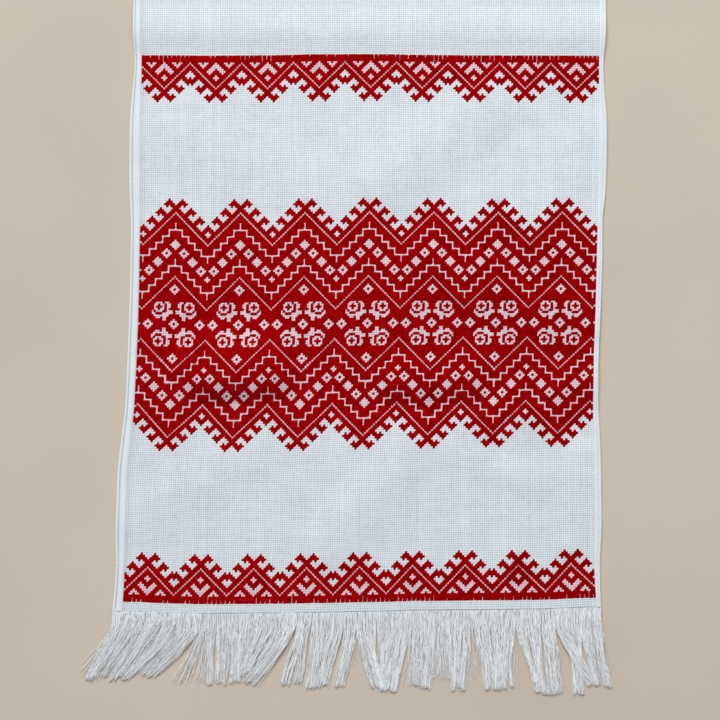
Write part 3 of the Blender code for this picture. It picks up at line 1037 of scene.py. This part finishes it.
def woven_cotton():
    """White even weave: rows and columns of threads with small holes between them, painted shade in
    its openings and painted red light in the bands' bare cells.
    """
    finish = Finish("woven_cotton", roughness=0.88, shine=0.15, sheen=0.1)
    place, (column, row, hem) = finish.field("weave")
    field = 1 - hem
    folded_row = row.math("PINGPONG", float(SECTION_ROWS[-1]))
    # Painted shade in the openings beside and along the threads and in the holes where they cross
    beside = finish.ramp(column.math("PINGPONG", 0.5), *OPEN_SHARE, 1.0, 0.0)
    along = finish.ramp(row.math("PINGPONG", 0.5), *OPEN_SHARE, 1.0, 0.0)
    hole = beside * along
    column_thread = column.math("FLOOR")
    row_thread = row.math("FLOOR")
    column_tone = finish.chance(column_thread, (row / COLUMN_RUN).math("FLOOR"), 1.0)
    row_tone = finish.chance((column / ROW_RUN).math("FLOOR"), row_thread, 2.0)
    cell_tone = finish.chance(column_thread, row_thread, 3.0)
    bright = finish.ramp(column_tone, *BRIGHT_THREADS, 0.0, 1.0)
    cloudy = finish.noise(place, scale=0.035, detail=3.0, roughness=0.6)
    patches = finish.noise(place, scale=0.09, detail=2.0, roughness=0.6)
    fine = finish.noise(place, scale=1.7, detail=2.0, roughness=0.6)
    plain_end = finish.ramp(folded_row, 3.0, 5.0, END_SHADE, 0.0)
    # A thin line of painted shade in the left hem's sewing fold
    from_fold = (column + LEFT_FOLD_COLUMN).math("ABSOLUTE")
    painted_fold_shade = finish.ramp(from_fold, 0.05, 0.28, FOLD_PAINTED_SHADE, 0.0)
    shade = beside * BESIDE_PAINTED_SHADE + along * ALONG_PAINTED_SHADE + hole * HOLE_PAINTED_SHADE
    shade = shade * finish.ramp(patches, 0.35, 0.65, *PATCH_SHADES)
    shade = shade * (CELL_SHADES[0] + cell_tone * CELL_SHADES[1]) - bright * BRIGHT_SHADE
    shade = (shade + row_tone * ROW_SHADE + column_tone * COLUMN_SHADE + plain_end) * field
    shade = shade + (1 - cloudy) * CLOUD_SHADE + (1 - fine) * FINE_SHADE
    shade = shade + hem * HEM_SHADE + painted_fold_shade + LEAST_SHADE
    tone = finish.ramp(shade, 0.0, DARKEST_SHADE, 0.0, 1.0)
    # Painted red light and painted shade from the stitches in the bands' bare cells
    painted_red_light = painted_red_light_and_shade(finish, column, folded_row) * field
    light = finish.mix(painted_red_light, GROUND_LIGHT, BARE_PAINTED_LIGHT)
    dark = finish.mix(painted_red_light, GROUND_DARK, BARE_PAINTED_DARK)
    finish.colour(finish.mix(tone, light, dark))
    over = (column * (math.tau * 2)).math("SINE") * (row * (math.tau * 2)).math("SINE")
    threads = 1 - (beside + along) * 0.5 - hole * 0.6 + over * 0.12
    in_field = field * (1 - HEM_RELIEF) + HEM_RELIEF
    finish.bump(threads * in_field + fine * 0.35, distance=0.25 * MM, strength=0.8)
    return finish.material


def red_stitching():
    """Dyed yarn in counted stitches, each with its own tone and the lie of its strands, with painted
    shade in the grooves between stitches and deepening towards the last columns.
    """
    finish = Finish("red_stitching", roughness=0.92, shine=0.0)
    place, (column, row, far) = finish.field("weave")
    own = finish.chance(column.math("FLOOR"), row.math("FLOOR"), far)
    cloudy = finish.noise(place, scale=0.12, detail=3.0, roughness=0.6)
    # Painted shade in the grooves between rows and between columns of stitches
    between = finish.ramp(row.math("PINGPONG", 0.5), 0.0, 0.28, 1.0, 0.0)
    beside = finish.ramp(column.math("PINGPONG", 0.5), 0.0, 0.2, 1.0, 0.0)
    # Painted shade across the band, deepening towards its last columns
    painted_shade_across_band = finish.ramp(column, 40.0, STITCHES_ACROSS, 0.0, 0.08)
    shade = own * 0.34 + (1 - cloudy) * 0.5 + between * 0.25 + beside * 0.2 + painted_shade_across_band
    tone = finish.ramp(shade, 0.1, 0.95, 0.0, 1.0)
    finish.colour(finish.mix(tone, RED_LIGHT, RED_DARK))
    strands = (column * (math.tau * 3) + row * 1.3).math("SINE")
    fuzz = finish.noise(place, scale=6.0, detail=2.0, roughness=0.6)
    finish.bump(strands * 0.3 + fuzz * 0.7, distance=0.15 * MM, strength=0.6)
    return finish.material


def fringe_cotton():
    """Loose white threads, each a little different and twisted along its length, with painted shade
    near their roots.
    """
    finish = Finish("fringe_cotton", roughness=0.85, shine=0.2, sheen=0.8)
    _, (own, along, number) = finish.field("strand")
    # Painted shade where the threads crowd at their roots
    painted_root_shade = finish.ramp(along, 0.0, 0.4, 0.46, 0.0)
    along_thread = finish.vector(number, along * 3, own)
    patchy = finish.noise(along_thread, scale=1.5, detail=2.0, roughness=0.5)
    shade = own * 0.30 + painted_root_shade + (1 - patchy) * 0.3
    tone = finish.ramp(shade, 0.1, 1.0, 0.0, 1.0)
    finish.colour(finish.mix(tone, FRINGE_LIGHT, FRINGE_DARK))
    twist = (along * 320 + own * 40).math("SINE")
    finish.bump(twist * 0.6 + patchy * 0.4, distance=0.08 * MM, strength=0.5)
    return finish.material


def pale_floor():
    """A plain pale surface, faintly uneven."""
    finish = Finish("pale_floor", roughness=0.7, shine=0.2)
    place = finish.node("ShaderNodeTexCoord", {}, [], "Object")
    cloudy = finish.noise(place, scale=3.0, detail=3.0, roughness=0.55)
    finish.colour(finish.mix(finish.ramp(cloudy, 0.3, 0.7, 0.0, 1.0), FLOOR_LIGHT, FLOOR_DARK))
    grain = finish.noise(place, scale=300.0, detail=2.0, roughness=0.5)
    finish.bump(grain, distance=0.05 * MM, strength=0.4)
    return finish.material


# The studio

def make_camera():
    """Straight above the near end, with its bands and fringe in view."""
    data = bpy.data.cameras.new("overhead")
    data.angle = 2 * math.atan(VIEW_WIDTH / 2 / CAMERA_HEIGHT)
    camera = add_object("overhead", data)
    camera.location = (VIEW_X, VIEW_Y, CAMERA_HEIGHT)
    bpy.context.scene.camera = camera


def make_studio():
    """A pale floor under one wide soft light, with an even light all round."""
    bpy.ops.mesh.primitive_plane_add(size=FLOOR_SIZE, location=(0, 0, -FLOOR_DROP))
    floor = bpy.context.object
    floor.name = "floor"
    floor.data.materials.append(pale_floor())
    sun = bpy.data.lights.new("soft_light", "SUN")
    sun.energy = KEY_STRENGTH
    sun.angle = math.radians(KEY_SPREAD_DEG)
    light = add_object("soft_light", sun)
    light.rotation_euler = Vector(KEY_FROM).to_track_quat("Z", "Y").to_euler()
    panel = bpy.data.lights.new("top_light", "AREA")
    panel.shape = "DISK"
    panel.size = TOP_LIGHT_SIZE
    panel.energy = TOP_LIGHT_WATTS
    add_object("top_light", panel).location = TOP_LIGHT_AT
    world = bpy.data.worlds.new("even_light")
    world.use_nodes = True
    background = world.node_tree.nodes["Background"]
    background.inputs["Color"].default_value = WORLD_COLOUR
    background.inputs["Strength"].default_value = WORLD_STRENGTH
    bpy.context.scene.world = world
    bpy.context.scene.view_settings.view_transform = "Standard"


def main():
    """The view and the floor, then the cloth and all that goes with it."""
    make_camera()
    make_studio()
    cotton, red, thread = woven_cotton(), red_stitching(), fringe_cotton()
    cloth = make_cloth(cotton)
    border, band = border_chart(), main_chart()
    turned_border = [cells[::-1] for cells in border]
    bands = (
        ("_lower_border", border, LOWER_BORDER_ROW, 0),
        ("_main_band", band, MAIN_BAND_ROW, None),
        ("_upper_border", turned_border, UPPER_BORDER_ROW, -1),
    )
    for end, far in (("near", False), ("far", True)):
        for part, chart, first_row, straight_row in bands:
            make_stitching(end + part, chart, first_row, far, red, straight_row)
    for side in ("left", "right"):
        make_sewing("hem_sewing_" + side, side, thread)
    make_fringe("fringe_near_threads", NEAR_CLUMPS, False, "fringe_near", thread)
    make_fringe("fringe_far_threads", FAR_CLUMPS, True, "fringe_far", thread)


main()
